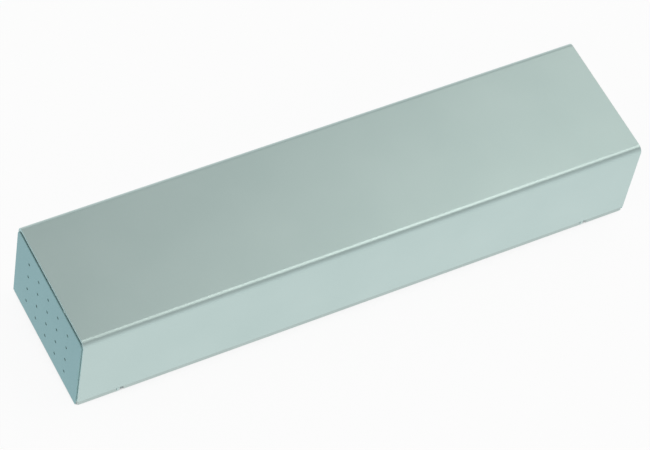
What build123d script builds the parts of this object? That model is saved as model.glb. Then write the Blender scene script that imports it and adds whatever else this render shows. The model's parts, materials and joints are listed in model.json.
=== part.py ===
from build123d import *
from math import acos, cos, pi, radians, sin, sqrt, tan
import os

# Overhead door closer with a lift-off hood. Millimetres.
# It lies on its mounting plate: z = 0 is the face that goes against the door,
# +X runs along the length, and the spindle comes out on the +Y side.

# Hood
hood_length = 269.0
hood_width = 65.0
hood_wall = 1.5
hood_bend_radius = 3.0
hood_seat_gap = 0.15
hood_end_gap = 0.2
spindle_slot_margin = 6.0
tab_width = 1.3
tab_length = 2.0
tab_side_gap = 0.1

# Mounting plate
plate_thickness = 2.5
plate_end_setback = 0.7
plate_side_setback = 0.3
notch_width = 3.8
notch_depth = 2.5
notch_end_distance = 20.1
door_hole_radius = 2.8
door_hole_spacing_y = 19.0

# End plates and what holds them
end_plate_thickness = 0.6
end_plate_side_inset = 0.8
end_plate_top_inset = 1.5
end_plate_corner_radius = 2.5
end_plate_floor_gap = 0.4
vent_columns = 5
vent_rows = 4
vent_pitch_y = 9.65
vent_pitch_z = 8.9
vent_radius = 0.72
vent_sides = 8
vent_centre_z = 21.8
bracket_thickness = 1.2
bracket_width = 8.0
bracket_height = 11.0
bracket_foot = 7.1
bracket_side_gap = 1.0
bracket_bend_share = 0.9

# Hood clips
clip_thickness = 0.6
clip_width = 12.0
clip_height = 13.0
clip_foot = 4.2
clip_wall_gap = 0.3
clip_bump = 0.9
clip_shoulder_share = 0.55
clip_nose_share = 0.78
clip_end_distance = 55.0

# Casting
end_bay = 22.7
body_side_gap = 6.0
body_top_gap = 0.9
body_top_radius = 5.0
body_base_radius = 1.5
bore_side_wall = 8.0
bore_cover = 3.55
boss_top_step = 2.05
boss_nut_step = 0.6
lug_end_gap = 0.6
lug_root = 7.0
lug_width = 14.5
lug_thickness = 7.0
lug_overhang = 4.5
body_screw_radius = 2.5
body_screw_key = 8.0
body_screw_head_height = 3.5

# Fits
running_gap = 0.05
thread_gap = 0.05
seal_gap = 0.03
face_gap = 0.3
chamfer_size = 0.5
cut_margin = 1.0

# Pinion and rack
gear_module = 1.5
pinion_teeth = 12
tooth_foot_share = 0.8
pressure_angle = 25.0
addendum_factor = 1.0
dedendum_factor = 1.25
backlash = 0.2
spindle_turn = 180.0

# Spindle
journal_radius = 8.0
drive_square = 11.0
drive_length = 7.5
spindle_reach = 6.5
arm_screw_radius = 2.5
arm_screw_depth = 12.0

# Needle bearings, bearing nut and lower cap
cup_wall = 0.95
needle_radius = 0.95
needle_count = 14
needle_sides = 6
needle_end_gap = 0.8
nut_step = 2.0
nut_thickness = 4.5
nut_hood_gap = 0.9
nut_slot_width = 2.4
nut_slot_depth = 1.2
nut_seal_wall = 2.2
lip_seal_thickness = 2.6
lip_seal_wall = 0.9
lip_seal_inset = 0.1
lower_cap_key = 8.0
lower_cap_key_depth = 2.5
cap_ring_size = 1.2

# Piston
piston_head_length = 12.7
piston_right_gap = 4.0
piston_window_gap = 0.5
piston_window_end_gap = 1.5
check_passage_radius = 1.5
check_poppet_radius = 2.4
check_poppet_length = 5.0
check_chamber_radius = 3.0
check_chamber_depth = 8.0
retainer_thickness = 0.8
retainer_hole_radius = 1.2

# End caps
cap_length = 14.0
cap_thread_step = 0.5
cap_ring_height = 1.9
cap_spigot_length = 3.0
cap_ring_gap = 0.15
cap_slot_start = 10.0
cap_slot_width = 3.0
cap_slot_depth = 2.5
filler_radius = 4.0
filler_length = 9.0
filler_flange_radius = 6.5
filler_flange_height = 3.5
filler_key = 4.0
washer_thickness = 0.8

# Spring, its plate and its adjuster
spring_wire_radius = 2.5
spring_wire_sides = 5
spring_bore_gap = 1.0
spring_pitch = 16.7
spring_aim_turns = 0.01
spring_end_gap = 0.8
spring_plate_thickness = 8.0
spring_plate_gap = 0.1
spring_spigot_length = 5.0
spring_spigot_gap = 1.0
adjuster_thread_radius = 4.0
adjuster_thread_pitch = 1.25
adjuster_turns = 10
adjuster_shank_radius = 5.0
adjuster_collar_radius = 7.5
adjuster_collar_thickness = 3.0
adjuster_hex = 8.0
adjuster_hex_length = 8.0
plate_start_gap = 2.7
adjuster_tip_margin = 1.5

# Valve screws
valve_radius = 2.5
valve_length = 13.0
valve_recess = 1.0
valve_tip_length = 4.0
valve_point_radius = 0.5
valve_key = 2.5
valve_key_depth = 2.5
valve_port_radius = 0.8
closing_valve_distance = 8.0
latching_valve_distance = 20.0
backcheck_valve_distance = 43.0

# Places that follow from the sizes above
half_length = hood_length / 2
half_width = hood_width / 2
hood_inner_y = half_width - hood_wall
end_plate_inner_x = half_length + hood_end_gap
plate_half_length = end_plate_inner_x - plate_end_setback
plate_half_width = half_width - plate_side_setback
notch_x = half_length - notch_end_distance
clip_x = half_length - clip_end_distance
bracket_outer_y = hood_inner_y - bracket_side_gap
body_half_length = end_plate_inner_x - end_bay
body_half_width = hood_inner_y - body_side_gap
bore_radius = body_half_width - bore_side_wall
body_top = plate_thickness + 2 * (bore_radius + bore_cover)
bore_z = (plate_thickness + body_top) / 2
hood_inner_top = body_top + body_top_gap
hood_top = hood_inner_top + hood_wall
lug_end_x = end_plate_inner_x - bracket_foot - lug_end_gap
lug_outer_y = body_half_width + lug_overhang
lug_inner_y = lug_outer_y - lug_width
body_screw_x = (body_half_length + lug_end_x) / 2
body_screw_y = (lug_outer_y + lug_inner_y) / 2
cup_inner_radius = journal_radius + 2 * (running_gap + needle_radius)
cup_radius = cup_inner_radius + cup_wall + thread_gap
nut_radius = cup_radius + nut_step
lip_seal_radius = nut_radius - nut_seal_wall
boss_radius = bore_radius + bore_cover - boss_top_step
nut_end_y = hood_inner_y - nut_hood_gap
nut_start_y = nut_end_y - nut_thickness
boss_y = nut_end_y - boss_nut_step
cup_end_y = nut_start_y - face_gap
cup_start_y = bore_radius + face_gap
cup_ring_y = nut_start_y + cap_ring_size
pitch_radius = gear_module * pinion_teeth / 2
tooth_pitch = pi * gear_module
tip_radius = pitch_radius + addendum_factor * gear_module
root_radius = pitch_radius - dedendum_factor * gear_module
piston_travel = pitch_radius * radians(spindle_turn)
piston_radius = bore_radius - running_gap
cap_inner_x = body_half_length - cap_length
cap_thread_radius = bore_radius + cap_thread_step
cap_spigot_radius = cap_thread_radius - cap_ring_height
piston_right_x = cap_inner_x - piston_right_gap
window_right_x = piston_right_x - piston_head_length
window_left_x = window_right_x - piston_travel - 2 * (tip_radius + piston_window_end_gap)
piston_left_x = window_left_x - piston_head_length
spindle_x = window_left_x + tip_radius + piston_window_end_gap
spring_plate_left_x = -cap_inner_x + face_gap + adjuster_collar_thickness + plate_start_gap
spring_plate_right_x = spring_plate_left_x + spring_plate_thickness
spring_coil_radius = bore_radius - spring_bore_gap - spring_wire_radius
spring_spigot_radius = spring_coil_radius - spring_wire_radius - spring_spigot_gap
spring_left_x = spring_plate_right_x + spring_wire_radius
spring_length = piston_left_x - spring_wire_radius - spring_left_x
spring_end_pitch = 2 * spring_wire_radius + spring_end_gap
spring_open_length = spring_length - 2 * spring_end_pitch
spring_open_turns = round(spring_open_length / spring_pitch)
spring_turns = spring_open_turns + 2
adjuster_travel = adjuster_thread_pitch * adjuster_turns
valve_y = -(bore_radius + body_half_width) / 2
valve_top = body_top - valve_recess
valve_bottom = valve_top - valve_length
closing_valve_x = cap_inner_x - closing_valve_distance
latching_valve_x = cap_inner_x - latching_valve_distance
backcheck_valve_x = spindle_x - backcheck_valve_distance


# Shapes that many pieces are made from
def block(x0, x1, y0, y1, z0, z1):
    return Pos((x0 + x1) / 2, (y0 + y1) / 2, (z0 + z1) / 2) * Box(x1 - x0, y1 - y0, z1 - z0)


def rod_x(radius, x0, x1, y=0.0, z=bore_z):
    return Pos((x0 + x1) / 2, y, z) * Rot(0, 90, 0) * Cylinder(radius, x1 - x0)


def rod_y(radius, y0, y1, x=spindle_x, z=bore_z):
    return Pos(x, (y0 + y1) / 2, z) * Rot(90, 0, 0) * Cylinder(radius, y1 - y0)


def rod_z(radius, z0, z1, x, y):
    return Pos(x, y, (z0 + z1) / 2) * Cylinder(radius, z1 - z0)


def hex_rod(key, height):
    return extrude(RegularPolygon(key / 2, 6, major_radius=False), amount=height)


def ring_x(inner, outer, x0, x1):
    return rod_x(outer, x0, x1) - rod_x(inner, x0 - cut_margin, x1 + cut_margin)


def ring_y(inner, outer, y0, y1):
    return rod_y(outer, y0, y1) - rod_y(inner, y0 - cut_margin, y1 + cut_margin)


def turned_y(points):
    # a turned piece about the spindle's axis, from (radius, y) corners
    outline = make_face(Polyline(*[(r, y) for r, y in points], close=True))
    turned = revolve(outline, Axis.Y, 360)
    return Pos(spindle_x, 0, bore_z) * turned


def corners():
    return [(sx, sy) for sx in (-1, 1) for sy in (-1, 1)]


# Hood: a folded U of sheet with two tabs on each wall and a slot for the spindle
def hood():
    bottom = plate_thickness + hood_seat_gap
    height = hood_top - bottom
    outer = Pos(0, bottom + height / 2) * Rectangle(hood_width, height)
    outer = fillet(outer.vertices().group_by(Axis.Y)[-1], hood_bend_radius)
    inner_height = hood_inner_top - bottom
    inner = Pos(0, bottom + inner_height / 2) * Rectangle(2 * hood_inner_y, inner_height)
    inner = fillet(inner.vertices().group_by(Axis.Y)[-1], hood_bend_radius - hood_wall)
    shell = extrude(Plane.YZ * (outer - inner), amount=half_length, both=True)
    slot_radius = journal_radius + spindle_slot_margin
    shell -= rod_y(slot_radius, hood_inner_y - cut_margin, half_width + cut_margin)
    shell -= block(
        spindle_x - slot_radius, spindle_x + slot_radius,
        hood_inner_y - cut_margin, half_width + cut_margin,
        bottom - cut_margin, bore_z,
    )
    for sx, sy in corners():
        left = sx * notch_x - notch_width / 2 + tab_side_gap
        y0, y1 = sorted((sy * hood_inner_y, sy * half_width))
        shell += block(left, left + tab_width, y0, y1, bottom - tab_length, bottom)
    return shell


# Mounting plate: flat steel with door holes, body screw holes and tab notches
def mounting_plate():
    plate = block(
        -plate_half_length, plate_half_length,
        -plate_half_width, plate_half_width,
        0, plate_thickness,
    )
    under = -cut_margin
    over = plate_thickness + cut_margin
    for sx, sy in corners():
        y0, y1 = sorted((sy * (plate_half_width - notch_depth), sy * (plate_half_width + cut_margin)))
        centre = sx * notch_x
        screw_x = sx * body_screw_x
        plate -= block(centre - notch_width / 2, centre + notch_width / 2, y0, y1, under, over)
        plate -= rod_z(door_hole_radius, under, over, screw_x, sy * door_hole_spacing_y / 2)
        plate -= rod_z(body_screw_radius + thread_gap, under, over, screw_x, sy * body_screw_y)
    return plate


# End plates: perforated sheet that covers each end, just clear of the hood
def end_plate(side):
    top = hood_top - end_plate_top_inset
    edge_y = half_width - end_plate_side_inset
    height = top - end_plate_floor_gap
    sheet = Pos(0, end_plate_floor_gap + height / 2) * Rectangle(2 * edge_y, height)
    sheet = fillet(sheet.vertices().group_by(Axis.Y)[-1], end_plate_corner_radius)
    vents = GridLocations(vent_pitch_y, vent_pitch_z, vent_columns, vent_rows)
    sheet -= Pos(0, vent_centre_z) * vents * RegularPolygon(vent_radius, vent_sides)
    panel = extrude(Plane.YZ * sheet, amount=end_plate_thickness)
    start = end_plate_inner_x if side > 0 else -end_plate_inner_x - end_plate_thickness
    return Pos(start, 0, 0) * panel


# Angle brackets: spot-welded to the end plates and to the mounting plate
def end_brackets():
    pieces = []
    for sx, sy in corners():
        y0, y1 = sorted((sy * bracket_outer_y, sy * (bracket_outer_y - bracket_width)))
        inner_x = end_plate_inner_x - bracket_foot
        x0, x1 = sorted((sx * end_plate_inner_x, sx * inner_x))
        w0, w1 = sorted((sx * end_plate_inner_x, sx * (end_plate_inner_x - bracket_thickness)))
        foot = block(x0, x1, y0, y1, plate_thickness, plate_thickness + bracket_thickness)
        leg = block(w0, w1, y0, y1, plate_thickness, plate_thickness + bracket_height)
        angle = foot + leg
        corner = (sx * end_plate_inner_x, 0, plate_thickness)
        outer_bend = angle.edges().filter_by(Axis.Y).sort_by_distance(corner)[0]
        angle = fillet(outer_bend, bracket_bend_share * bracket_thickness)
        pieces.append(angle)
    return group(pieces)


# Hood clips: leaf springs spot-welded to the mounting plate, one at each quarter
def hood_clips():
    outer_y = hood_inner_y - clip_wall_gap - clip_thickness / 2
    leg_y = outer_y - clip_bump
    floor_z = plate_thickness + clip_thickness / 2
    shoulder = clip_shoulder_share * clip_height
    nose = clip_nose_share * clip_height
    path = Polyline(
        (leg_y - clip_foot - clip_thickness / 2, floor_z),
        (leg_y, floor_z),
        (leg_y, plate_thickness + shoulder),
        (outer_y, plate_thickness + nose),
        (leg_y - clip_bump / 2, plate_thickness + clip_height),
    )
    strip = trace(path, clip_thickness)
    leaf = extrude(Plane.YZ * strip, amount=clip_width / 2, both=True)
    pieces = []
    for sx, sy in corners():
        turned = leaf if sy > 0 else Rot(0, 0, 180) * leaf
        pieces.append(Pos(sx * clip_x, 0, 0) * turned)
    return group(pieces)


# Closer body: a casting with the cylinder bore, two pinion bosses and four lugs
def closer_body():
    height = body_top - plate_thickness
    section = Pos(0, bore_z) * Rectangle(2 * body_half_width, height)
    section = fillet(section.vertices().group_by(Axis.Y)[-1], body_top_radius)
    section = fillet(section.vertices().group_by(Axis.Y)[0], body_base_radius)
    casting = extrude(Plane.YZ * section, amount=body_half_length, both=True)
    casting += rod_y(boss_radius, -boss_y, boss_y)
    for sx, sy in corners():
        x0, x1 = sorted((sx * (body_half_length - lug_root), sx * lug_end_x))
        y0, y1 = sorted((sy * lug_inner_y, sy * lug_outer_y))
        lug = block(x0, x1, y0, y1, plate_thickness, plate_thickness + lug_thickness)
        casting += lug
        casting -= rod_z(
            body_screw_radius + thread_gap,
            plate_thickness - cut_margin, plate_thickness + lug_thickness + cut_margin,
            sx * body_screw_x, sy * body_screw_y,
        )
    casting -= rod_x(bore_radius, -body_half_length - cut_margin, body_half_length + cut_margin)
    cap_bore = cap_thread_radius + thread_gap
    casting -= rod_x(cap_bore, -body_half_length - cut_margin, -cap_inner_x)
    casting -= rod_x(cap_bore, cap_inner_x, body_half_length + cut_margin)
    casting -= rod_y(cup_radius, -boss_y - cut_margin, boss_y + cut_margin)
    nut_bore = nut_radius + thread_gap
    casting -= rod_y(nut_bore, cup_end_y, boss_y + cut_margin)
    casting -= rod_y(nut_bore, -boss_y - cut_margin, -cup_end_y)
    for x in (closing_valve_x, latching_valve_x, backcheck_valve_x):
        casting -= valve_pocket(x)
    return casting


def valve_pocket(x):
    # the drilled pocket, with one port from its foot into the cylinder
    foot = valve_bottom - valve_tip_length
    port_z = (foot + valve_bottom) / 2
    pocket = rod_z(valve_radius + running_gap, foot, body_top + cut_margin, x, valve_y)
    return pocket + rod_y(valve_port_radius, valve_y, -bore_radius + 2 * cut_margin, x, port_z)


def body_screws():
    seat = plate_thickness + lug_thickness
    pieces = []
    for sx, sy in corners():
        x, y = sx * body_screw_x, sy * body_screw_y
        head = Pos(x, y, seat) * hex_rod(body_screw_key, body_screw_head_height)
        pieces.append(head + rod_z(body_screw_radius, face_gap, seat, x, y))
    return group(pieces)


# Spindle: pinion teeth cut in the middle of a shaft, with a square for the arm
def pinion_half_angle(radius):
    # half the angle that one tooth takes at this radius
    base_radius = pitch_radius * cos(radians(pressure_angle))
    at_pitch = (tooth_pitch / 2 - backlash / 2) / (2 * pitch_radius)
    return at_pitch + involute(radians(pressure_angle)) - involute(acos(base_radius / radius))


def involute(angle):
    return tan(angle) - angle


def pinion_tooth():
    base_radius = pitch_radius * cos(radians(pressure_angle))
    start = max(base_radius, root_radius)
    middle = (start + tip_radius) / 2

    def flank(radius, side):
        angle = side * pinion_half_angle(radius)
        return (radius * cos(angle), radius * sin(angle))

    inside = tooth_foot_share * root_radius
    edge = pinion_half_angle(start)
    foot = (inside * cos(edge), inside * sin(edge))
    edges = [
        Line((foot[0], -foot[1]), flank(start, -1)),
        ThreePointArc(flank(start, -1), flank(middle, -1), flank(tip_radius, -1)),
        ThreePointArc(flank(tip_radius, -1), (tip_radius, 0), flank(tip_radius, 1)),
        ThreePointArc(flank(tip_radius, 1), flank(middle, 1), flank(start, 1)),
        Line(flank(start, 1), foot),
        Line(foot, (foot[0], -foot[1])),
    ]
    return make_face(edges)


def teeth_half_length():
    # as long as the rack is wide at its tooth tips, so that no journal meets the rack
    tip_drop = pitch_radius - addendum_factor * gear_module
    return sqrt(piston_radius**2 - tip_drop**2) + face_gap


def spindle():
    tooth = pinion_tooth()
    step = 360 / pinion_teeth
    gear = Circle(root_radius) + [Rot(0, 0, i * step - 90) * tooth for i in range(pinion_teeth)]
    half = teeth_half_length()
    shaft = Pos(spindle_x, 0, bore_z) * extrude(Plane.XZ * gear, amount=half, both=True)
    shaft += chamfered_journal(-cup_end_y, -half)
    square_start = half_width + spindle_reach - drive_length
    tip = half_width + spindle_reach
    shaft += rod_y(journal_radius, half, square_start)
    square = Rectangle(drive_square, drive_square)
    drive = extrude(Plane.XZ * square, amount=-(tip - square_start))
    drive = chamfer(drive.faces().sort_by(Axis.Y)[-1].edges(), chamfer_size)
    shaft += Pos(spindle_x, square_start, bore_z) * drive
    shaft -= rod_y(arm_screw_radius, tip - arm_screw_depth, tip + cut_margin)
    return shaft


def chamfered_journal(y0, y1):
    journal = rod_y(journal_radius, y0, y1)
    return chamfer(journal.edges().sort_by(Axis.Y)[0], chamfer_size)


# Needle bearings: a hardened cup pressed in each boss, and loose needles
def bearing_cups():
    outer = cup_radius - thread_gap
    return group([
        ring_y(cup_inner_radius, outer, cup_start_y, cup_end_y),
        ring_y(cup_inner_radius, outer, -cup_end_y, -cup_start_y),
    ])


def bearing_needles():
    y0 = cup_start_y + needle_end_gap
    y1 = cup_end_y - needle_end_gap
    circle = journal_radius + running_gap + needle_radius
    section = RegularPolygon(needle_radius, needle_sides)
    pieces = []
    for side in (-1, 1):
        low, high = sorted((side * y0, side * y1))
        for i in range(needle_count):
            angle = 2 * pi * i / needle_count
            centre = Pos(spindle_x + circle * cos(angle), high, bore_z + circle * sin(angle))
            pieces.append(centre * extrude(Plane.XZ * section, amount=high - low))
    return group(pieces)


# Bearing nut: threaded ring on the spindle's open side, which holds the lip seal
def bearing_nut():
    nut = rod_y(nut_radius, nut_start_y, nut_end_y)
    nut -= rod_y(journal_radius + face_gap, nut_start_y - cut_margin, nut_end_y + cut_margin)
    seal_seat = nut_end_y - lip_seal_thickness - face_gap
    nut -= rod_y(lip_seal_radius + thread_gap, seal_seat, nut_end_y + cut_margin)
    for turn in (0, 90, 180, 270):
        x = spindle_x + nut_radius * cos(radians(turn))
        z = bore_z + nut_radius * sin(radians(turn))
        nut -= block(
            x - nut_slot_width / 2, x + nut_slot_width / 2,
            nut_end_y - nut_slot_depth, nut_end_y + cut_margin,
            z - nut_slot_width / 2, z + nut_slot_width / 2,
        )
    return nut


def lip_seal():
    y1 = nut_end_y - lip_seal_inset
    y0 = y1 - lip_seal_thickness
    lip = journal_radius + running_gap
    return turned_y([
        (lip_seal_radius, y0), (lip_seal_radius, y1), (lip + lip_seal_wall, y1),
        (lip, y1 - lip_seal_wall), (lip_seal_radius - lip_seal_wall, y0),
    ])


# Lower cap: closed threaded plug under the spindle, with a hexagon socket
def lower_cap():
    cap = rod_y(nut_radius, -nut_end_y, -cup_ring_y)
    cap += rod_y(nut_radius - cap_ring_size, -cup_ring_y, -nut_start_y)
    socket = Rot(90, 0, 0) * hex_rod(lower_cap_key, lower_cap_key_depth)
    return cap - Pos(spindle_x, -nut_end_y + lower_cap_key_depth, bore_z) * socket


def lower_cap_ring():
    inner = nut_radius - cap_ring_size + seal_gap
    return ring_y(inner, nut_radius, -cup_ring_y + seal_gap, -nut_start_y)


# Piston: round bar with a window for the pinion and a rack along its lower side
def piston():
    bar = rod_x(piston_radius, piston_left_x, piston_right_x)
    bar = chamfer(bar.edges().filter_by(GeomType.CIRCLE), chamfer_size)
    bar += rod_x(spring_spigot_radius, piston_left_x - spring_spigot_length, piston_left_x)
    rack_tip = bore_z - pitch_radius + addendum_factor * gear_module
    window_top = bore_z + tip_radius + piston_window_gap
    bar -= block(window_left_x, window_right_x, -bore_radius, bore_radius, rack_tip, window_top)
    bar -= extrude(Plane.XZ * rack_spaces(window_left_x, window_right_x), amount=bore_radius, both=True)
    bar -= rod_x(check_passage_radius, window_right_x - cut_margin, piston_right_x + cut_margin)
    bar -= rod_x(check_chamber_radius, piston_right_x - check_chamber_depth, piston_right_x + cut_margin)
    return bar


def rack_spaces(left, right):
    slope = tan(radians(pressure_angle))
    half = tooth_pitch / 4 + backlash / 4
    line = bore_z - pitch_radius
    above = addendum_factor * gear_module
    below = dedendum_factor * gear_module
    space = make_face(Polyline(
        (-half - above * slope, line + above),
        (-half + below * slope, line - below),
        (half - below * slope, line - below),
        (half + above * slope, line + above),
        close=True,
    ))
    reach = half + above * slope
    first = -int((spindle_x - reach - left) / tooth_pitch)
    last = int((right - reach - spindle_x) / tooth_pitch)
    return Sketch() + [Pos(spindle_x + k * tooth_pitch, 0) * space for k in range(first, last + 1)]


def check_poppet():
    seat = piston_right_x - check_chamber_depth
    return rod_x(check_poppet_radius, seat, seat + check_poppet_length)


def check_retainer():
    x0 = piston_right_x - 2 * retainer_thickness
    disc = rod_x(check_chamber_radius, x0, x0 + retainer_thickness)
    return disc - rod_x(retainer_hole_radius, x0 - cut_margin, x0 + retainer_thickness + cut_margin)


# End caps: threaded plugs that close the cylinder, each with a ring at its shoulder
def cap_blank():
    shoulder = cap_inner_x + cap_spigot_length
    plug = rod_x(cap_thread_radius, shoulder, body_half_length)
    plug += rod_x(cap_spigot_radius, cap_inner_x, shoulder)
    slot = block(
        body_half_length - cap_slot_depth, body_half_length + cut_margin,
        cap_slot_start, cap_thread_radius + cut_margin,
        bore_z - cap_slot_width / 2, bore_z + cap_slot_width / 2,
    )
    return plug - slot - mirror(slot, Plane.XZ)


def right_end_cap():
    hole = filler_radius + thread_gap
    return cap_blank() - rod_x(hole, cap_inner_x - cut_margin, body_half_length + cut_margin)


def left_end_cap():
    plug = mirror(cap_blank(), Plane.YZ)
    hole = adjuster_shank_radius + running_gap
    return plug - rod_x(hole, -body_half_length - cut_margin, -cap_inner_x + cut_margin)


def end_cap_rings():
    inner = cap_spigot_radius + seal_gap
    start = cap_inner_x + cap_ring_gap
    end = cap_inner_x + cap_spigot_length - cap_ring_gap
    ring = ring_x(inner, cap_thread_radius, start, end)
    return group([ring, mirror(ring, Plane.YZ)])


def filler_plug():
    seat = body_half_length + washer_thickness
    plug = rod_x(filler_radius, seat - filler_length, seat)
    plug += rod_x(filler_flange_radius, seat, seat + filler_flange_height)
    socket = Rot(0, 90, 0) * hex_rod(filler_key, filler_flange_height)
    return plug - Pos(seat, 0, bore_z) * socket


def filler_washer():
    return ring_x(
        filler_radius + thread_gap, filler_flange_radius,
        body_half_length, body_half_length + washer_thickness,
    )


# Spring plate: the nut that the adjuster draws along the cylinder
def spring_plate():
    end = spring_plate_right_x + spring_spigot_length
    disc = rod_x(bore_radius - spring_plate_gap, spring_plate_left_x, spring_plate_right_x)
    disc += rod_x(spring_spigot_radius, spring_plate_right_x, end)
    hole = adjuster_thread_radius + running_gap
    return disc - rod_x(hole, spring_plate_left_x - cut_margin, end + cut_margin)


# Spring adjuster: a screw held by its collar, with a hexagon outside the end cap
def spring_adjuster():
    collar_left = -cap_inner_x + face_gap
    collar_right = collar_left + adjuster_collar_thickness
    plate_end = spring_plate_right_x + spring_spigot_length
    tip = plate_end + adjuster_travel + adjuster_tip_margin
    screw = rod_x(adjuster_shank_radius, -body_half_length, collar_left)
    screw += rod_x(adjuster_collar_radius, collar_left, collar_right)
    thread = rod_x(adjuster_thread_radius, collar_right, tip)
    screw += chamfer(thread.edges().sort_by(Axis.X)[-1], chamfer_size)
    hexagon = Rot(0, 90, 0) * hex_rod(adjuster_hex, adjuster_hex_length)
    screw += Pos(-body_half_length - adjuster_hex_length, 0, bore_z) * hexagon
    return screw


# Closing spring: one round wire with closed ends, wound on quarter-turn pairs of arcs
def spring_point(turns):
    if turns < 1:
        along = spring_end_pitch * turns
    elif turns > spring_turns - 1:
        along = spring_length - spring_end_pitch * (spring_turns - turns)
    else:
        along = spring_end_pitch + spring_open_length * (turns - 1) / spring_open_turns
    angle = 2 * pi * turns
    return Vector(
        spring_left_x + along,
        spring_coil_radius * cos(angle),
        bore_z + spring_coil_radius * sin(angle),
    )


def spring_direction(turns):
    back = max(turns - spring_aim_turns, 0)
    ahead = min(turns + spring_aim_turns, spring_turns)
    return (spring_point(ahead) - spring_point(back)).normalized()


def arc_pair(start, start_direction, end, end_direction):
    # two arcs that meet smoothly, from one point and direction to another
    chord = end - start
    both = start_direction + end_direction
    a = both.dot(both) - 4
    b = -2 * chord.dot(both)
    c = chord.dot(chord)
    reach = (-b - sqrt(b * b - 4 * a * c)) / (2 * a)
    first = start + start_direction * reach
    second = end - end_direction * reach
    joint = (first + second) / 2
    return [
        TangentArc(start, joint, tangent=start_direction),
        TangentArc(joint, end, tangent=(second - first).normalized()),
    ]


def closing_spring():
    quarters = 4 * spring_turns
    arcs = []
    for i in range(quarters):
        a, b = i / 4, (i + 1) / 4
        arcs += arc_pair(spring_point(a), spring_direction(a), spring_point(b), spring_direction(b))
    path = Wire(arcs)
    wire = RegularPolygon(spring_wire_radius, spring_wire_sides)
    section = Plane(origin=spring_point(0), x_dir=(1, 0, 0), z_dir=spring_direction(0)) * wire
    least_gap = spring_end_pitch - 2 * spring_wire_radius
    print("closing spring, least gap between turns:", round(least_gap, 2), "mm")
    return sweep(section, path=path)


# Valve screws: tapered needles in the casting's front edge, one for each control
def valve_screw(x):
    screw = rod_z(valve_radius, valve_bottom, valve_top, x, valve_y)
    tip = Cone(valve_point_radius, valve_radius, valve_tip_length)
    screw += Pos(x, valve_y, valve_bottom - valve_tip_length / 2) * tip
    screw -= Pos(x, valve_y, valve_top - valve_key_depth) * hex_rod(valve_key, valve_key_depth + cut_margin)
    return screw


def group(pieces):
    return Compound(children=[solid for piece in pieces for solid in piece.solids()])


nodes = {
    "hood": hood(),
    "mounting_plate": mounting_plate(),
    "left_end_plate": end_plate(-1),
    "right_end_plate": end_plate(1),
    "end_brackets": end_brackets(),
    "hood_clips": hood_clips(),
    "closer_body": closer_body(),
    "body_screws": body_screws(),
    "spindle": spindle(),
    "bearing_cups": bearing_cups(),
    "bearing_needles": bearing_needles(),
    "bearing_nut": bearing_nut(),
    "lip_seal": lip_seal(),
    "lower_cap": lower_cap(),
    "lower_cap_ring": lower_cap_ring(),
    "piston": piston(),
    "check_poppet": check_poppet(),
    "check_retainer": check_retainer(),
    "left_end_cap": left_end_cap(),
    "right_end_cap": right_end_cap(),
    "end_cap_rings": end_cap_rings(),
    "filler_plug": filler_plug(),
    "filler_washer": filler_washer(),
    "spring_adjuster": spring_adjuster(),
    "spring_plate": spring_plate(),
    "closing_spring": closing_spring(),
    "closing_valve": valve_screw(closing_valve_x),
    "latching_valve": valve_screw(latching_valve_x),
    "backcheck_valve": valve_screw(backcheck_valve_x),
}

os.makedirs("parts", exist_ok=True)
for name, shape in nodes.items():
    export_step(shape, f"parts/{name}.step")
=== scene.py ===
import bmesh
import bpy
import json
import math
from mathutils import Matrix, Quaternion, Vector


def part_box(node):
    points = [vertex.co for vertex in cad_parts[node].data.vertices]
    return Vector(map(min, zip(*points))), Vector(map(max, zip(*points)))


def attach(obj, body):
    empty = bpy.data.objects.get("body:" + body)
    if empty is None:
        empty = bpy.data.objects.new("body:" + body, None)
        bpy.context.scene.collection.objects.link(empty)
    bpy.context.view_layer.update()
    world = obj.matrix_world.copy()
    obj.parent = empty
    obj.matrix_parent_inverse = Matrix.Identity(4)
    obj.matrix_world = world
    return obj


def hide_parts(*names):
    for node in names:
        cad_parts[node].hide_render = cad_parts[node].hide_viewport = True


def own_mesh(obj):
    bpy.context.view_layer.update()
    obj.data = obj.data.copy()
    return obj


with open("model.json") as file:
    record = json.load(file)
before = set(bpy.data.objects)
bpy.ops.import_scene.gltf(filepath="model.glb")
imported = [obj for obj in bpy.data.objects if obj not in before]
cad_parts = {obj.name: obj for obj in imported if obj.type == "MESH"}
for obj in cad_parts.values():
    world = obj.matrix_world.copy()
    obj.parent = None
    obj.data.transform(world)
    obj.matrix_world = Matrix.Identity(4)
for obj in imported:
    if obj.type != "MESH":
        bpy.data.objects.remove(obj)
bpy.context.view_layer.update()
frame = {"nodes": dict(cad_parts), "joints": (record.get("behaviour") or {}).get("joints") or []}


# Mounting plate
# A flat plate of cold-rolled steel, punched, then zinc-plated and passivated. It is screwed to the door
# and carries everything else. Only its edge shows, as a band under the hood's walls.
def linear(hex_colour):
    """an sRGB hex colour as linear RGBA"""
    channels = [int(hex_colour[i:i + 2], 16) / 255 for i in (1, 3, 5)]
    return tuple(c / 12.92 if c <= 0.04045 else ((c + 0.055) / 1.055) ** 2.4 for c in channels) + (1.0,)


def add(owner, kind, settings={}, inputs={}):
    """adds a node to a material or world; an input is a plain value, or another node's output to link"""
    tree = owner.node_tree
    node = tree.nodes.new(kind)
    for name, value in settings.items():
        setattr(node, name, value)
    for socket, value in inputs.items():
        if isinstance(value, bpy.types.NodeSocket):
            tree.links.new(value, node.inputs[socket])
        else:
            node.inputs[socket].default_value = value
    return node


def start_material(name):
    """an empty material, and the place on the object in the frame's metres"""
    material = bpy.data.materials.new(name)
    material.use_nodes = True
    material.node_tree.nodes.clear()
    return material, add(material, "ShaderNodeTexCoord").outputs["Object"]


def mm(size):
    """a noise scale whose features are about this many millimetres wide"""
    return 1000 / size


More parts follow.
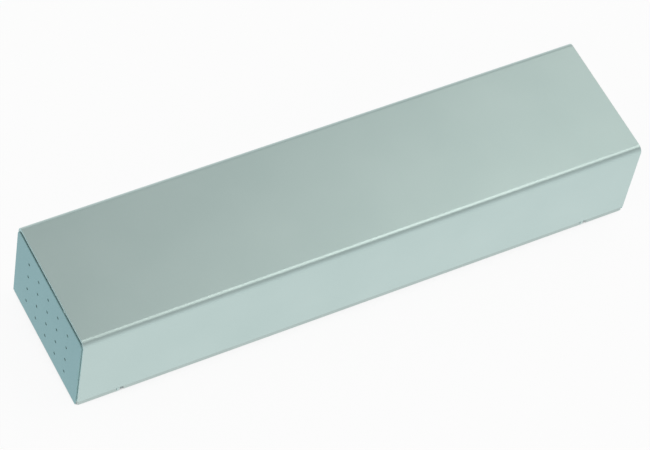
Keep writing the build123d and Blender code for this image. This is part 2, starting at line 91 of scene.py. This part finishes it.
def dress(node, material):
    """gives a solid of the frame its finish, with its own shape left as it is"""
    mesh = frame["nodes"][node].data
    mesh.materials.clear()
    mesh.materials.append(material)


def zinc_plated_steel():
    # Zinc gives a pale, slightly green grey, with a fine frosted grain and broad soft clouds. The grain is
    # drawn at 0.5 mm, coarser than the real frost, so that it shows.
    material, place = start_material("zinc_plated_steel")
    cloud = add(material, "ShaderNodeTexNoise", {}, {"Vector": place, "Scale": mm(14), "Detail": 3.0})
    grain = add(material, "ShaderNodeTexNoise", {}, {"Vector": place, "Scale": mm(0.5), "Detail": 2.0})
    tint = add(material, "ShaderNodeMixRGB", {}, {
        "Fac": cloud.outputs["Fac"], "Color1": linear("#A9BAB7"), "Color2": linear("#B9C8C5"),
    })
    rough = add(material, "ShaderNodeMapRange", {}, {
        "Value": grain.outputs["Fac"], "To Min": 0.34, "To Max": 0.48,
    })
    bump = add(material, "ShaderNodeBump", {}, {
        "Height": grain.outputs["Fac"], "Strength": 0.12, "Distance": 0.00003,
    })
    shader = add(material, "ShaderNodeBsdfPrincipled", {}, {
        "Base Color": tint.outputs["Color"], "Metallic": 1.0,
        "Roughness": rough.outputs["Result"], "Normal": bump.outputs["Normal"],
    })
    add(material, "ShaderNodeOutputMaterial", {}, {"Surface": shader.outputs["BSDF"]})
    return material


zinc_plate = zinc_plated_steel()
dress("mounting_plate", zinc_plate)


# Closer body
# The cylinder housing, gravity die-cast in aluminium, fettled and bead-blasted, with bosses for the spindle
# and lugs for four screws. It lies on the mounting plate and is hidden until the hood comes off.
def die_cast_aluminium():
    # Bead blasting leaves an even, dull light grey; a coarser wave under it is the die's own skin. The
    # blasted pits are drawn at 0.45 mm, coarser than real ones, so that they show.
    material, place = start_material("die_cast_aluminium")
    skin = add(material, "ShaderNodeTexNoise", {}, {"Vector": place, "Scale": mm(9), "Detail": 4.0})
    blast = add(material, "ShaderNodeTexNoise", {}, {
        "Vector": place, "Scale": mm(0.45), "Detail": 3.0, "Roughness": 0.7,
    })
    tint = add(material, "ShaderNodeMixRGB", {}, {
        "Fac": skin.outputs["Fac"], "Color1": linear("#8F9293"), "Color2": linear("#B4B6B7"),
    })
    height = add(material, "ShaderNodeMath", {"operation": "MULTIPLY_ADD"}, {
        0: skin.outputs["Fac"], 1: 3.0, 2: blast.outputs["Fac"],
    })
    rough = add(material, "ShaderNodeMapRange", {}, {
        "Value": blast.outputs["Fac"], "To Min": 0.48, "To Max": 0.66,
    })
    bump = add(material, "ShaderNodeBump", {}, {
        "Height": height.outputs["Value"], "Strength": 0.5, "Distance": 0.00008,
    })
    shader = add(material, "ShaderNodeBsdfPrincipled", {}, {
        "Base Color": tint.outputs["Color"], "Metallic": 1.0,
        "Roughness": rough.outputs["Result"], "Normal": bump.outputs["Normal"],
    })
    add(material, "ShaderNodeOutputMaterial", {}, {"Surface": shader.outputs["BSDF"]})
    return material


def black_oxide_steel():
    # Black oxide leaves a thin oiled film: near black, with a soft gleam and brown where it has rubbed.
    material, place = start_material("black_oxide_steel")
    wear = add(material, "ShaderNodeTexNoise", {}, {"Vector": place, "Scale": mm(2.5), "Detail": 4.0})
    tint = add(material, "ShaderNodeMixRGB", {}, {
        "Fac": wear.outputs["Fac"], "Color1": linear("#17181A"), "Color2": linear("#3A3836"),
    })
    rough = add(material, "ShaderNodeMapRange", {}, {
        "Value": wear.outputs["Fac"], "To Min": 0.28, "To Max": 0.5,
    })
    shader = add(material, "ShaderNodeBsdfPrincipled", {}, {
        "Base Color": tint.outputs["Color"], "Metallic": 1.0, "Roughness": rough.outputs["Result"],
    })
    add(material, "ShaderNodeOutputMaterial", {}, {"Surface": shader.outputs["BSDF"]})
    return material


dress("closer_body", die_cast_aluminium())
dress("body_screws", black_oxide_steel())


# Spindle, bearings and piston
# The spindle is a hobbed pinion on a ground shaft, the piston a ground bar with a broached rack. Both are
# case-hardened steel. The spindle turns in loose needles, and a turned nut and a plug close its two bosses.
def ground_steel():
    # Grinding round the shaft leaves fine hoops: a bright, neutral grey with faint bands across its length.
    # They are drawn at 0.35 mm, coarser than the marks of a real grit, so that they show.
    material, place = start_material("ground_hardened_steel")
    across = add(material, "ShaderNodeMapping", {}, {"Vector": place, "Scale": (0.15, 1.0, 0.15)})
    hoops = add(material, "ShaderNodeTexNoise", {}, {
        "Vector": across.outputs["Vector"], "Scale": mm(0.35), "Detail": 3.0,
    })
    tint = add(material, "ShaderNodeMixRGB", {}, {
        "Fac": hoops.outputs["Fac"], "Color1": linear("#A7A9AB"), "Color2": linear("#C6C8C9"),
    })
    rough = add(material, "ShaderNodeMapRange", {}, {
        "Value": hoops.outputs["Fac"], "To Min": 0.18, "To Max": 0.34,
    })
    bump = add(material, "ShaderNodeBump", {}, {
        "Height": hoops.outputs["Fac"], "Strength": 0.15, "Distance": 0.00002,
    })
    shader = add(material, "ShaderNodeBsdfPrincipled", {}, {
        "Base Color": tint.outputs["Color"], "Metallic": 1.0,
        "Roughness": rough.outputs["Result"], "Normal": bump.outputs["Normal"],
    })
    add(material, "ShaderNodeOutputMaterial", {}, {"Surface": shader.outputs["BSDF"]})
    return material


def turned_steel():
    # A lathe tool leaves fine grooves that catch light as thin curved lines. A real feed is about 0.3 mm;
    # the lines are drawn 1.9 mm apart, so that they show, and they curve about the frame's X axis.
    material, place = start_material("turned_steel")
    cloud = add(material, "ShaderNodeTexNoise", {}, {"Vector": place, "Scale": mm(6), "Detail": 3.0})
    # a wave repeats at every 2 pi / 20 of its own unit
    rings = add(material, "ShaderNodeTexWave", {"wave_type": "RINGS", "rings_direction": "X"}, {
        "Vector": place, "Scale": mm(1.88496) * 2 * math.pi / 20, "Distortion": 0.4,
    })
    tint = add(material, "ShaderNodeMixRGB", {}, {
        "Fac": cloud.outputs["Fac"], "Color1": linear("#9C9EA0"), "Color2": linear("#B9BBBC"),
    })
    rough = add(material, "ShaderNodeMapRange", {}, {
        "Value": cloud.outputs["Fac"], "To Min": 0.28, "To Max": 0.42,
    })
    bump = add(material, "ShaderNodeBump", {}, {
        "Height": rings.outputs["Fac"], "Strength": 0.1, "Distance": 0.00004,
    })
    shader = add(material, "ShaderNodeBsdfPrincipled", {}, {
        "Base Color": tint.outputs["Color"], "Metallic": 1.0,
        "Roughness": rough.outputs["Result"], "Normal": bump.outputs["Normal"],
    })
    add(material, "ShaderNodeOutputMaterial", {}, {"Surface": shader.outputs["BSDF"]})
    return material


def polished_bearing_steel():
    # Tumbled and polished chrome steel: the brightest metal here, with only faint streaks.
    material, place = start_material("polished_bearing_steel")
    streak = add(material, "ShaderNodeTexNoise", {}, {"Vector": place, "Scale": mm(1.5), "Detail": 2.0})
    tint = add(material, "ShaderNodeMixRGB", {}, {
        "Fac": streak.outputs["Fac"], "Color1": linear("#B9BCC0"), "Color2": linear("#D2D4D6"),
    })
    rough = add(material, "ShaderNodeMapRange", {}, {
        "Value": streak.outputs["Fac"], "To Min": 0.1, "To Max": 0.2,
    })
    shader = add(material, "ShaderNodeBsdfPrincipled", {}, {
        "Base Color": tint.outputs["Color"], "Metallic": 1.0, "Roughness": rough.outputs["Result"],
    })
    add(material, "ShaderNodeOutputMaterial", {}, {"Surface": shader.outputs["BSDF"]})
    return material


def nitrile_rubber():
    # Moulded nitrile: a matt black with a dry bloom, and no metal in its shine.
    material, place = start_material("nitrile_rubber")
    bloom = add(material, "ShaderNodeTexNoise", {}, {"Vector": place, "Scale": mm(1.2), "Detail": 4.0})
    tint = add(material, "ShaderNodeMixRGB", {}, {
        "Fac": bloom.outputs["Fac"], "Color1": linear("#141414"), "Color2": linear("#242424"),
    })
    bump = add(material, "ShaderNodeBump", {}, {
        "Height": bloom.outputs["Fac"], "Strength": 0.2, "Distance": 0.00003,
    })
    shader = add(material, "ShaderNodeBsdfPrincipled", {}, {
        "Base Color": tint.outputs["Color"], "Roughness": 0.72,
        "IOR": 1.52, "Normal": bump.outputs["Normal"],
    })
    add(material, "ShaderNodeOutputMaterial", {}, {"Surface": shader.outputs["BSDF"]})
    return material


ground = ground_steel()
turned = turned_steel()
bearing = polished_bearing_steel()
rubber = nitrile_rubber()
for node in ("spindle", "piston"):
    dress(node, ground)
for node in ("bearing_cups", "bearing_needles"):
    dress(node, bearing)
for node in ("bearing_nut", "lower_cap", "check_poppet"):
    dress(node, turned)
for node in ("lip_seal", "lower_cap_ring"):
    dress(node, rubber)


# Spring and adjuster
# The closing spring is coiled from oil-tempered wire. It pushes the piston from a round nut plate, which a
# long turned screw draws along the cylinder, and its turns close up as either one moves. The check valve's
# retainer is a blanked spring-steel disc.
def oil_tempered_steel():
    # Oil tempering leaves a thin blue-grey scale, darker than bare steel, with straw-brown patches.
    material, place = start_material("oil_tempered_steel")
    scale = add(material, "ShaderNodeTexNoise", {}, {"Vector": place, "Scale": mm(3.5), "Detail": 5.0})
    tint = add(material, "ShaderNodeValToRGB", {}, {"Fac": scale.outputs["Fac"]})
    tint.color_ramp.elements[0].position = 0.35
    tint.color_ramp.elements[0].color = linear("#4A4E55")
    tint.color_ramp.elements[1].position = 0.7
    tint.color_ramp.elements[1].color = linear("#6E6A63")
    rough = add(material, "ShaderNodeMapRange", {}, {
        "Value": scale.outputs["Fac"], "To Min": 0.3, "To Max": 0.5,
    })
    shader = add(material, "ShaderNodeBsdfPrincipled", {}, {
        "Base Color": tint.outputs["Color"], "Metallic": 1.0, "Roughness": rough.outputs["Result"],
    })
    add(material, "ShaderNodeOutputMaterial", {}, {"Surface": shader.outputs["BSDF"]})
    return material


tempered = oil_tempered_steel()
dress("check_retainer", tempered)
for node in ("spring_plate", "spring_adjuster"):
    dress(node, turned)

spring_wire_radius = 0.0025
spring_wire_sides = 16
spring_coil_radius = 0.0135
spring_turns = 7
spring_steps_a_turn = 32
spring_end_pitch = 0.0058
spigot_length = 0.005
spring_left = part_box("spring_plate")[1].x - spigot_length + spring_wire_radius
spring_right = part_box("piston")[0].x + spigot_length - spring_wire_radius
spring_open_pitch = (spring_right - spring_left - 2 * spring_end_pitch) / (spring_turns - 2)
spring_axis_z = (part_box("closing_spring")[0].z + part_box("closing_spring")[1].z) / 2


def spring_point(turn):
    """the wire's centre; the first and last turn lie closed, and the others share the length between them"""
    closed = min(turn, 1) + max(turn - spring_turns + 1, 0)
    x = spring_left + closed * spring_end_pitch + (turn - closed) * spring_open_pitch
    angle = 2 * math.pi * turn
    y = spring_coil_radius * math.cos(angle)
    z = spring_axis_z + spring_coil_radius * math.sin(angle)
    return Vector((x, y, z))


def round_wire():
    """nodes that draw a wire along a piece's line of points, so that it stays round as the line shortens"""
    tree = bpy.data.node_groups.new("round_wire", "GeometryNodeTree")
    tree.interface.new_socket("Line", in_out="INPUT", socket_type="NodeSocketGeometry")
    tree.interface.new_socket("Wire", in_out="OUTPUT", socket_type="NodeSocketGeometry")
    line, circle, sweep, finish, wire = [tree.nodes.new(kind) for kind in (
        "GeometryNodeMeshToCurve", "GeometryNodeCurvePrimitiveCircle", "GeometryNodeCurveToMesh",
        "GeometryNodeSetMaterial", "NodeGroupOutput",
    )]
    circle.inputs["Resolution"].default_value = spring_wire_sides
    circle.inputs["Radius"].default_value = spring_wire_radius
    sweep.inputs["Fill Caps"].default_value = True
    finish.inputs["Material"].default_value = tempered
    tree.links.new(tree.nodes.new("NodeGroupInput").outputs["Line"], line.inputs["Mesh"])
    tree.links.new(line.outputs["Curve"], sweep.inputs["Curve"])
    tree.links.new(circle.outputs["Curve"], sweep.inputs["Profile Curve"])
    tree.links.new(sweep.outputs["Mesh"], finish.inputs["Geometry"])
    tree.links.new(finish.outputs["Geometry"], wire.inputs["Wire"])
    return tree


def new_piece(name, mesh):
    """a piece in the scene that holds this mesh"""
    piece = bpy.data.objects.new(name, mesh)
    bpy.context.scene.collection.objects.link(piece)
    return piece


def spring_part(name, wire, first, last, body):
    """the turns from first to last, counted from the nut plate, as a line that the nodes make round"""
    steps = round((last - first) * spring_steps_a_turn)
    points = [spring_point(first + (last - first) * i / steps) for i in range(steps + 1)]
    mesh = bpy.data.meshes.new(name)
    mesh.from_pydata(points, [(i, i + 1) for i in range(steps)], [])
    piece = new_piece(name, mesh)
    piece.modifiers.new("round_wire", "NODES").node_group = wire
    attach(piece, body)
    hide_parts("closing_spring")
    return piece


def closing_spring():
    """closed turns that ride on the nut plate and the piston, and open turns that shorten between them"""
    travel = {joint["name"]: joint["range_m"] for joint in frame["joints"] if "range_m" in joint}
    from_plate, from_piston = travel["spring_plate_slide"][1], -travel["piston_slide"][0]
    last_open = spring_turns - 1
    parting = 1 + (last_open - 1) * from_plate / (from_plate + from_piston)
    wire = round_wire()
    spring_part("spring_plate_turn", wire, 0, 1, "spring_plate")
    spring_part("spring_piston_turn", wire, last_open, spring_turns, "piston")
    near = spring_part("spring_plate_coils", wire, 1, parting, "base")
    far = spring_part("spring_piston_coils", wire, parting, last_open, "base")
    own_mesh(near)
    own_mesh(far)


closing_spring()


# End caps and filler plug
# Two turned steel plugs screw into the cylinder's ends against rubber rings, with spanner slots. The right
# one takes a zinc-plated filler plug, which seals the oil in on an annealed copper washer.
def annealed_copper():
    # Annealing takes copper's polish off: a soft salmon red that goes brown in patches.
    material, place = start_material("annealed_copper")
    stain = add(material, "ShaderNodeTexNoise", {}, {"Vector": place, "Scale": mm(2), "Detail": 4.0})
    tint = add(material, "ShaderNodeMixRGB", {}, {
        "Fac": stain.outputs["Fac"], "Color1": linear("#A9674A"), "Color2": linear("#D08E6C"),
    })
    shader = add(material, "ShaderNodeBsdfPrincipled", {}, {
        "Base Color": tint.outputs["Color"], "Metallic": 1.0, "Roughness": 0.38,
    })
    add(material, "ShaderNodeOutputMaterial", {}, {"Surface": shader.outputs["BSDF"]})
    return material


for node in ("left_end_cap", "right_end_cap"):
    dress(node, turned)
dress("end_cap_rings", rubber)
dress("filler_plug", zinc_plate)
dress("filler_washer", annealed_copper())


# Valve screws
# Three needles of turned brass, screwed into the casting's front edge. They set the closing, latching and
# backcheck speeds.
def turned_brass():
    # Turned brass is a warm, clear yellow with a fine gleam, a little darker where it has been handled.
    material, place = start_material("turned_brass")
    touch = add(material, "ShaderNodeTexNoise", {}, {"Vector": place, "Scale": mm(1.8), "Detail": 3.0})
    tint = add(material, "ShaderNodeMixRGB", {}, {
        "Fac": touch.outputs["Fac"], "Color1": linear("#B8923F"), "Color2": linear("#DDBB6A"),
    })
    rough = add(material, "ShaderNodeMapRange", {}, {
        "Value": touch.outputs["Fac"], "To Min": 0.2, "To Max": 0.36,
    })
    shader = add(material, "ShaderNodeBsdfPrincipled", {}, {
        "Base Color": tint.outputs["Color"], "Metallic": 1.0, "Roughness": rough.outputs["Result"],
    })
    add(material, "ShaderNodeOutputMaterial", {}, {"Surface": shader.outputs["BSDF"]})
    return material


brass = turned_brass()
for node in ("closing_valve", "latching_valve", "backcheck_valve"):
    dress(node, brass)


# End plates and their brackets
# Each end is closed by a sheet of aluminium, punched with twenty small round holes and anodised a little
# bluer than the hood. Folded brackets of plated steel are spot-welded behind it and to the mounting plate.
def anodised_aluminium(name, dark, light):
    # Satin etching before anodising leaves a very fine, even grain: a soft broad gleam and no brush lines.
    material, place = start_material(name)
    cloud = add(material, "ShaderNodeTexNoise", {}, {"Vector": place, "Scale": mm(40), "Detail": 2.0})
    # the etch is under 0.1 mm and is drawn at 0.7 mm, so that it shows at this size
    etch = add(material, "ShaderNodeTexNoise", {}, {"Vector": place, "Scale": mm(0.7), "Detail": 2.0})
    blend = add(material, "ShaderNodeMath", {"operation": "MULTIPLY_ADD"}, {
        0: etch.outputs["Fac"], 1: 0.35, 2: cloud.outputs["Fac"],
    })
    tint = add(material, "ShaderNodeMixRGB", {}, {
        "Fac": blend.outputs["Value"], "Color1": linear(dark), "Color2": linear(light),
    })
    rough = add(material, "ShaderNodeMapRange", {}, {
        "Value": etch.outputs["Fac"], "To Min": 0.34, "To Max": 0.42,
    })
    bump = add(material, "ShaderNodeBump", {}, {
        "Height": etch.outputs["Fac"], "Strength": 0.06, "Distance": 0.00002,
    })
    shader = add(material, "ShaderNodeBsdfPrincipled", {}, {
        "Base Color": tint.outputs["Color"], "Metallic": 1.0,
        "Roughness": rough.outputs["Result"], "Normal": bump.outputs["Normal"],
    })
    add(material, "ShaderNodeOutputMaterial", {}, {"Surface": shader.outputs["BSDF"]})
    return material


def painted_shade_hole_wall():
    # The punch shears the hole's wall bare and torn. Its dark colour is painted shade, for the shade inside
    # each hole, with torn grain over it.
    material, place = start_material("hole_wall_painted_shade")
    tear = add(material, "ShaderNodeTexNoise", {}, {"Vector": place, "Scale": mm(0.3), "Detail": 3.0})
    tint = add(material, "ShaderNodeMixRGB", {}, {
        "Fac": tear.outputs["Fac"], "Color1": linear("#4C5F63"), "Color2": linear("#6E8286"),
    })
    shader = add(material, "ShaderNodeBsdfPrincipled", {}, {
        "Base Color": tint.outputs["Color"], "Metallic": 1.0, "Roughness": 0.55,
    })
    add(material, "ShaderNodeOutputMaterial", {}, {"Surface": shader.outputs["BSDF"]})
    return material


def prism(name, outlines, start, end, axis):
    """outlines drawn across an axis, each drawn out along it from start to end"""
    shape = bmesh.new()
    for outline in outlines:
        corners = [Vector((start, u, v)) if axis == "X" else Vector((u, start, v)) for u, v in outline]
        face = shape.faces.new([shape.verts.new(corner) for corner in corners])
        drawn = bmesh.ops.extrude_face_region(shape, geom=[face])
        step = (end - start, 0, 0) if axis == "X" else (0, end - start, 0)
        moved = [item for item in drawn["geom"] if isinstance(item, bmesh.types.BMVert)]
        bmesh.ops.translate(shape, vec=step, verts=moved)
    bmesh.ops.recalc_face_normals(shape, faces=shape.faces)
    mesh = bpy.data.meshes.new(name)
    shape.to_mesh(mesh)
    shape.free()
    return new_piece(name, mesh)


def arc(u, v, radius, first, last, steps):
    """points round a centre, between two angles in degrees"""
    angles = [math.radians(first + (last - first) * i / steps) for i in range(steps + 1)]
    return [(u + radius * math.cos(angle), v + radius * math.sin(angle)) for angle in angles]


def cut_away(piece, cutter):
    """takes the cutter's shape out of the piece, for good"""
    boolean = piece.modifiers.new("cut", "BOOLEAN")
    boolean.operation = "DIFFERENCE"
    boolean.solver = "EXACT"
    boolean.object = cutter
    shaped = piece.evaluated_get(bpy.context.evaluated_depsgraph_get())
    piece.data = bpy.data.meshes.new_from_object(shaped)
    piece.modifiers.clear()
    bpy.data.objects.remove(cutter)


def rim_colour_and_painted_light(name, dark, light):
    # A shear leaves a sheet's cut rim rough, so it scatters light. Its dull blue-grey is also painted light,
    # lifted so that the shaded groove between the hood and an end plate reads less dark.
    material, place = start_material(name)
    tear = add(material, "ShaderNodeTexNoise", {}, {"Vector": place, "Scale": mm(0.4), "Detail": 3.0})
    tint = add(material, "ShaderNodeMixRGB", {}, {
        "Fac": tear.outputs["Fac"], "Color1": linear(dark), "Color2": linear(light),
    })
    bump = add(material, "ShaderNodeBump", {}, {
        "Height": tear.outputs["Fac"], "Strength": 0.3, "Distance": 0.00005,
    })
    shader = add(material, "ShaderNodeBsdfPrincipled", {}, {
        "Base Color": tint.outputs["Color"], "Metallic": 1.0,
        "Roughness": 0.62, "Normal": bump.outputs["Normal"],
    })
    add(material, "ShaderNodeOutputMaterial", {}, {"Surface": shader.outputs["BSDF"]})
    return material


def give_rim_finish_and_painted_light(piece, rim, is_rim):
    """puts the rim's finish, partly painted light, on the faces that the shear has cut"""
    piece.data.materials.append(rim)
    last = len(piece.data.materials) - 1
    for face in piece.data.polygons:
        if face.material_index == 0 and is_rim(face.normal):
            face.material_index = last


def break_edges(piece, width):
    """a small round along every sharp edge, as deburring leaves, with flat faces kept flat"""
    piece.data.shade_smooth()
    bevel = piece.modifiers.new("deburred", "BEVEL")
    bevel.width = width
    bevel.segments = 2
    bevel.limit_method = "ANGLE"
    bevel.angle_limit = math.radians(40)
    even = piece.modifiers.new("flat_faces", "WEIGHTED_NORMAL")
    even.weight = 100
    even.keep_sharp = True


vent_columns = 5
vent_rows = 4
vent_radius = 0.00072
vent_sides = 24
vent_step_y = 0.00965
vent_step_z = 0.0089
vent_centre_z = 0.0218
end_plate_corner = 0.0025
end_plate_corner_steps = 8
end_plate_deburr = 0.00012
cut_margin = 0.001
# a face looks along an axis when this much of its normal lies on it
square_on = 0.9


def vent_outlines():
    """columns and rows of round holes, as outlines in Y and Z"""
    outlines = []
    last_angle = 360 - 360 / vent_sides
    for column in range(vent_columns):
        for row in range(vent_rows):
            y = (column - (vent_columns - 1) / 2) * vent_step_y
            z = vent_centre_z + (row - (vent_rows - 1) / 2) * vent_step_z
            outlines.append(arc(y, z, vent_radius, 0, last_angle, vent_sides - 1))
    return outlines


def end_plate(node, anodised, hole_wall_shade):
    low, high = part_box(node)
    r = end_plate_corner
    outline = [(low.y, low.z), (high.y, low.z)]
    outline += arc(high.y - r, high.z - r, r, 0, 90, end_plate_corner_steps)
    outline += arc(low.y + r, high.z - r, r, 90, 180, end_plate_corner_steps)
    sheet = prism(node.replace("plate", "sheet"), [outline], low.x, high.x, "X")
    sheet.data.materials.append(anodised)
    cutter = prism("punch", vent_outlines(), low.x - cut_margin, high.x + cut_margin, "X")
    # the hole walls take the painted shade
    cutter.data.materials.append(hole_wall_shade)
    cut_away(sheet, cutter)
    # the cut edges take the rim colour, which is partly painted light for the groove's shade
    give_rim_finish_and_painted_light(sheet, end_rim_with_painted_light, lambda normal: abs(normal.x) < square_on)
    break_edges(sheet, end_plate_deburr)
    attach(sheet, "base")
    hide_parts(node)


end_anodised = anodised_aluminium("blue_grey_anodised_aluminium", "#6C9A9F", "#78A6AB")
# the hole walls' dark colour is painted shade
end_hole_wall_shade = painted_shade_hole_wall()
# the end plate's rim colour is partly painted light, lifted to lighten the groove
end_rim_with_painted_light = rim_colour_and_painted_light("end_plate_rim_painted_light", "#93B4B5", "#A9C6C6")
end_plate("left_end_plate", end_anodised, end_hole_wall_shade)
end_plate("right_end_plate", end_anodised, end_hole_wall_shade)
dress("end_brackets", zinc_plate)


# Hood clips
# Four leaf springs of oil-tempered strip. Each has a foot that is spot-welded to the mounting plate, and a
# leg with a nose that grips the hood's wall.
dress("hood_clips", tempered)


# Hood
# One sheet of aluminium folded to a U over a small radius, satin-etched and anodised a pale green-grey. Two
# tabs on each wall drop into notches in the mounting plate, and a slot on the far side clears the arm's hub.
hood_wall = 0.0015
hood_bend = 0.003
hood_bend_steps = 12
hood_deburr = 0.00015
hood_seat_gap = 0.00015
hood_end_reach = 0.00013
tab_width = 0.0013
notch_end_distance = 0.0201
notch_half_width = 0.0019
tab_side_gap = 0.0001
slot_radius = 0.014
slot_steps = 32


def hood_section(half, top, foot, radius):
    """one face of the folded sheet: foot, wall, bend, top, bend, wall, foot"""
    points = [(-half, foot)]
    points += arc(radius - half, top - radius, radius, 180, 90, hood_bend_steps)
    points += arc(half - radius, top - radius, radius, 90, 0, hood_bend_steps)
    return points + [(half, foot)]


def join(piece, other):
    """adds the other's mesh to the piece"""
    both = bmesh.new()
    both.from_mesh(piece.data)
    both.from_mesh(other.data)
    both.to_mesh(piece.data)
    both.free()
    bpy.data.objects.remove(other)


def hood():
    low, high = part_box("hood")
    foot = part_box("mounting_plate")[1].z + hood_seat_gap
    half = high.y
    outer = hood_section(half, high.z, foot, hood_bend)
    inner = hood_section(half - hood_wall, high.z - hood_wall, foot, hood_bend - hood_wall)
    # the sheet reaches nearer to the end plates than the solid, so that the gap doesn't read as black
    left, right = low.x - hood_end_reach, high.x + hood_end_reach
    sheet = prism("hood_sheet", [outer + inner[::-1]], left, right, "X")
    spindle_low, spindle_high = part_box("spindle")
    x = (spindle_low.x + spindle_high.x) / 2
    z = (spindle_low.z + spindle_high.z) / 2
    slot = arc(x, z, slot_radius, 180, 0, slot_steps)
    slot += [(x + slot_radius, foot - cut_margin), (x - slot_radius, foot - cut_margin)]
    cut_away(sheet, prism("slot", [slot], half - hood_wall - cut_margin, half + cut_margin, "Y"))
    for side_x in (-1, 1):
        start = side_x * (high.x - notch_end_distance) - notch_half_width + tab_side_gap
        end = start + tab_width
        tab = [(start, low.z), (end, low.z), (end, foot), (start, foot)]
        for wall in (-half, half - hood_wall):
            join(sheet, prism("tab", [tab], wall, wall + hood_wall, "Y"))
    sheet.data.materials.append(anodised_aluminium("green_grey_anodised_aluminium", "#B4C9C6", "#BFD2CF"))
    # the hood's rim colour is lifted as painted light, so that the groove at each end reads less dark
    hood_rim_with_painted_light = rim_colour_and_painted_light("hood_rim_painted_light", "#B3D0D1", "#C7DFDF")
    give_rim_finish_and_painted_light(sheet, hood_rim_with_painted_light, lambda normal: abs(normal.x) > square_on or normal.z < -square_on)
    break_edges(sheet, hood_deburr)
    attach(sheet, "hood")
    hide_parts("hood")


hood()


# Floor and background
# A white studio sheet under the object. To the camera and in reflections it is near white, and it keeps the
# object's soft shadow.
sheet_half_side = 4.0
sheet_squares = 8
sheet_drop = 0.0003


def studio_white():
    # A matt white sheet, lifted to white where the camera or a reflection sees it.
    material, place = start_material("white_studio_sheet")
    fibre = add(material, "ShaderNodeTexNoise", {}, {"Vector": place, "Scale": mm(3), "Detail": 2.0})
    tint = add(material, "ShaderNodeMixRGB", {}, {
        "Fac": fibre.outputs["Fac"], "Color1": linear("#F4F4F4"), "Color2": linear("#FAFAFA"),
    })
    paper = add(material, "ShaderNodeBsdfDiffuse", {}, {"Color": tint.outputs["Color"]})
    white = add(material, "ShaderNodeEmission", {}, {"Color": (1, 1, 1, 1), "Strength": 1.0})
    ray = add(material, "ShaderNodeLightPath")
    seen = add(material, "ShaderNodeMath", {"operation": "MAXIMUM"}, {
        0: ray.outputs["Is Camera Ray"], 1: ray.outputs["Is Glossy Ray"],
    })
    # where the object covers it, in a notch or behind a hole, the sheet isn't lifted and stays in shade
    open_sky = add(material, "ShaderNodeAmbientOcclusion", {"samples": 16}, {"Distance": 0.08})
    clear = add(material, "ShaderNodeMapRange", {}, {
        "Value": open_sky.outputs["AO"], "From Min": 0.25, "From Max": 0.5, "To Min": 0.0, "To Max": 0.93,
    })
    lifted = add(material, "ShaderNodeMix", {"data_type": "FLOAT"}, {
        0: ray.outputs["Is Camera Ray"], 2: seen.outputs["Value"], 3: clear.outputs["Result"],
    })
    both = add(material, "ShaderNodeMixShader", {}, {
        "Fac": lifted.outputs[0], 1: paper.outputs["BSDF"], 2: white.outputs["Emission"],
    })
    add(material, "ShaderNodeOutputMaterial", {}, {"Surface": both.outputs["Shader"]})
    return material


def floor():
    shape = bmesh.new()
    bmesh.ops.create_grid(shape, x_segments=sheet_squares, y_segments=sheet_squares, size=sheet_half_side)
    bmesh.ops.translate(shape, vec=(0, 0, -sheet_drop), verts=shape.verts)
    mesh = bpy.data.meshes.new("studio_sheet")
    shape.to_mesh(mesh)
    shape.free()
    sheet = new_piece("studio_sheet", mesh)
    mesh.materials.append(studio_white())


floor()


# Light
# A broad soft box and a narrow one hang above the right end. They light that end a little more and give the
# bends their gleam. A room that is paler towards its walls than overhead fills the rest.
lamp_aim = Vector((0, 0, 0.02))
warm_white = (1.0, 0.965, 0.92)


def room():
    world = bpy.data.worlds.new("pale_room")
    world.use_nodes = True
    world.node_tree.nodes.clear()
    sky = add(world, "ShaderNodeTexCoord").outputs["Generated"]
    way = add(world, "ShaderNodeSeparateXYZ", {}, {0: sky})
    walls = add(world, "ShaderNodeMapRange", {}, {
        "Value": way.outputs["Z"], "From Min": 0.0, "From Max": 0.74, "To Min": 0.97, "To Max": 0.49,
    })
    fill = add(world, "ShaderNodeBackground", {}, {
        "Color": (1, 1, 1, 1), "Strength": walls.outputs["Result"],
    })
    white = add(world, "ShaderNodeBackground", {}, {"Color": (1, 1, 1, 1), "Strength": 1.0})
    ray = add(world, "ShaderNodeLightPath")
    seen = add(world, "ShaderNodeMixShader", {}, {
        "Fac": ray.outputs["Is Camera Ray"], 1: fill.outputs["Background"], 2: white.outputs["Background"],
    })
    add(world, "ShaderNodeOutputWorld", {}, {"Surface": seen.outputs["Shader"]})
    bpy.context.scene.world = world


def soft_box(name, place, size, power):
    lamp = bpy.data.lights.new(name, "AREA")
    lamp.shape = "RECTANGLE"
    lamp.size, lamp.size_y = size
    lamp.energy = power
    lamp.color = warm_white
    box = bpy.data.objects.new(name, lamp)
    box.location = place
    box.rotation_euler = (lamp_aim - Vector(place)).to_track_quat("-Z", "Y").to_euler()
    bpy.context.scene.collection.objects.link(box)


room()
soft_box("broad_soft_box", place=(0.69, -0.07, 1.58), size=(1.02, 0.49), power=3.2)
soft_box("narrow_soft_box", place=(0.64, 0.52, 1.53), size=(0.11, 1.04), power=1.1)


# Camera
# A long lens, above the left front corner, turned a little so that the closer lies along the frame's slope.
# It is shifted by about half a pixel each way, to the photograph's framing.
camera_place = Vector((-0.49191, -0.64810, 1.12670))
camera_aim = Vector((-0.00427, -0.00271, 0.02275))
camera_roll = math.radians(12.18)
lens = bpy.data.cameras.new("camera")
lens.lens = 175.0
lens.sensor_width = 36.0
lens.sensor_fit = "HORIZONTAL"
lens.clip_start = 0.01
lens.shift_x = -0.0008
lens.shift_y = 0.0009
camera = bpy.data.objects.new("camera", lens)
camera.rotation_mode = "QUATERNION"
camera.location = camera_place
upright = (camera_aim - camera_place).to_track_quat("-Z", "Y")
camera.rotation_quaternion = upright @ Quaternion((0, 0, 1), camera_roll)
bpy.context.scene.collection.objects.link(camera)
bpy.context.scene.camera = camera
bpy.context.scene.view_settings.view_transform = "Standard"
